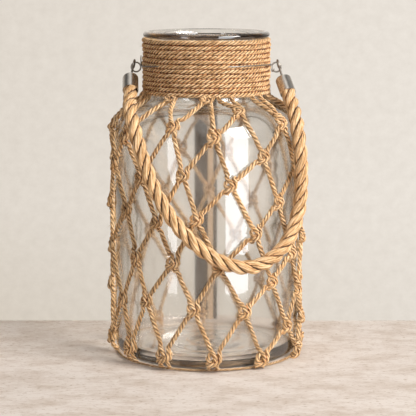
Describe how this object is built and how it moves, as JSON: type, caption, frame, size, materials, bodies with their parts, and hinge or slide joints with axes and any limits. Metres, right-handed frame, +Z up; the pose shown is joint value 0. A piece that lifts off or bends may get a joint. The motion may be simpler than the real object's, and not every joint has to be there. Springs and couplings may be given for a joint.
{
  "type": "hanging jar lantern",
  "caption": "Clear glass jar lantern in a knotted cord net, with a cord-wound neck and a swinging rope handle hung from wire eyes by metal ferrules.",
  "frame": {"origin": "centre of the jar's flat underside", "axes": "+Z up along the jar's axis, -Y towards the hanging rope handle, the handle's two eyes at -X and +X"},
  "size_m": [0.1883, 0.2017, 0.307],
  "materials": {
    "clear_glass": "clear, glossy",
    "jute_cord": "twisted natural jute, fibrous",
    "jute_rope": "three-strand natural jute, fibrous",
    "galvanised_wire": "dull galvanised",
    "nickelled_metal": "satin nickel"
  },
  "bodies": {
    "jar": {"glass_jar": "clear_glass", "neck_wrap_cord": "jute_cord", "net_knots_row_1": "jute_cord", "net_knots_row_2": "jute_cord", "net_knots_row_3": "jute_cord", "net_knots_row_4": "jute_cord", "net_knots_row_5": "jute_cord", "net_knots_row_6": "jute_cord", "net_knots_row_7": "jute_cord", "net_top_cords": "jute_cord", "net_cords_row_1": "jute_cord", "net_cords_row_2": "jute_cord", "net_cords_row_3": "jute_cord", "net_cords_row_4": "jute_cord", "net_cords_row_5": "jute_cord", "net_cords_row_6": "jute_cord", "net_stem_cords": "jute_cord", "base_ring_cord": "jute_cord", "neck_wire_front": "galvanised_wire", "neck_wire_back": "galvanised_wire", "left_wire_twist": "galvanised_wire", "right_wire_twist": "galvanised_wire", "left_wire_eye": "galvanised_wire", "right_wire_eye": "galvanised_wire"},
    "handle": {"left_ferrule": "nickelled_metal", "right_ferrule": "nickelled_metal", "left_ferrule_eye": "galvanised_wire", "right_ferrule_eye": "galvanised_wire", "handle_rope": "jute_rope"}
  },
  "joints": [
    {"name": "handle_swing", "type": "hinge", "parent": "jar", "child": "handle", "pos_m": [0, 0, 0.2775], "axis": [-1, 0, 0], "range_deg": [0, 235]}
  ]
}
